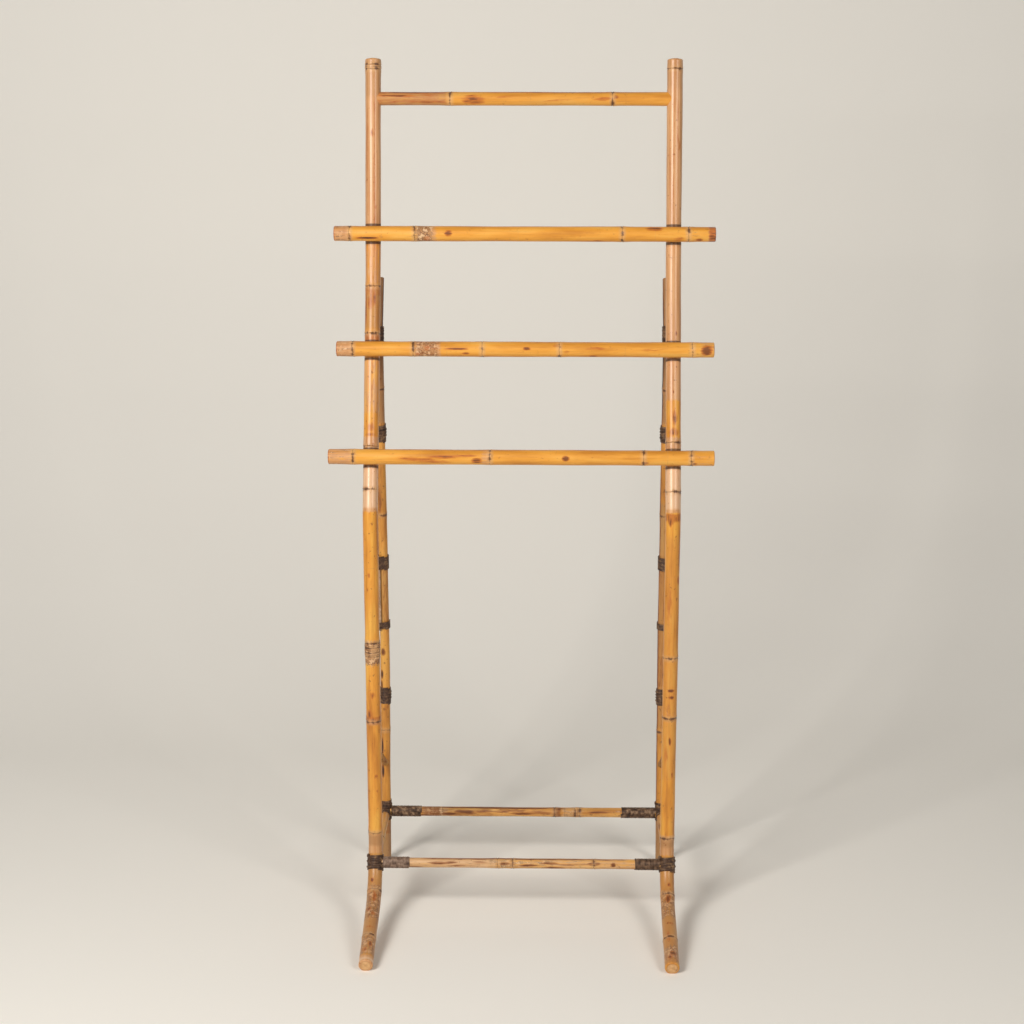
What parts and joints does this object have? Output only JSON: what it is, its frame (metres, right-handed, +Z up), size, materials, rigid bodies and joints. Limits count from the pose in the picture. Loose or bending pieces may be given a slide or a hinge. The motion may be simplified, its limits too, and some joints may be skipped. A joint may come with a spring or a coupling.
{
  "type": "freestanding towel rack",
  "caption": "Freestanding bamboo towel rack with leaning bent posts, cross rails for towels, forward-bent feet, rear legs and low stretchers lashed with split cane.",
  "frame": {"origin": "on the floor under the centre of the rack's bounding box", "axes": "+X to the right as seen from the front, +Y to the rear, +Z up"},
  "size_m": [0.64, 0.4647, 1.4427],
  "materials": {
    "post_bamboo": "clear lacquer over scorched bamboo",
    "rail_bamboo": "clear lacquer over scorched bamboo",
    "leg_bamboo": "clear lacquer over scorched bamboo",
    "plug_wood": "satin lacquer",
    "splint_cane": "satin",
    "lashing_cane": "dark stained, satin"
  },
  "bodies": {
    "root": {"left_post": "post_bamboo", "right_post": "post_bamboo", "upper_towel_rail": "rail_bamboo", "middle_towel_rail": "rail_bamboo", "lower_towel_rail": "rail_bamboo", "top_rail": "rail_bamboo", "left_rear_leg": "leg_bamboo", "right_rear_leg": "leg_bamboo", "front_stretcher": "leg_bamboo", "rear_stretcher": "leg_bamboo", "left_side_stretcher": "leg_bamboo", "right_side_stretcher": "leg_bamboo", "left_side_brace": "leg_bamboo", "right_side_brace": "leg_bamboo", "post_top_plugs": "plug_wood", "toe_plugs": "plug_wood", "rail_end_plugs": "plug_wood", "rail_pins": "plug_wood", "head_pins": "plug_wood", "rear_leg_splints": "splint_cane", "front_joint_lashings": "lashing_cane", "rear_joint_lashings": "lashing_cane", "front_stretcher_sleeves": "lashing_cane", "rear_stretcher_sleeves": "lashing_cane", "left_leg_bindings": "lashing_cane", "right_leg_bindings": "lashing_cane", "head_lashings": "lashing_cane"}
  },
  "joints": []
}
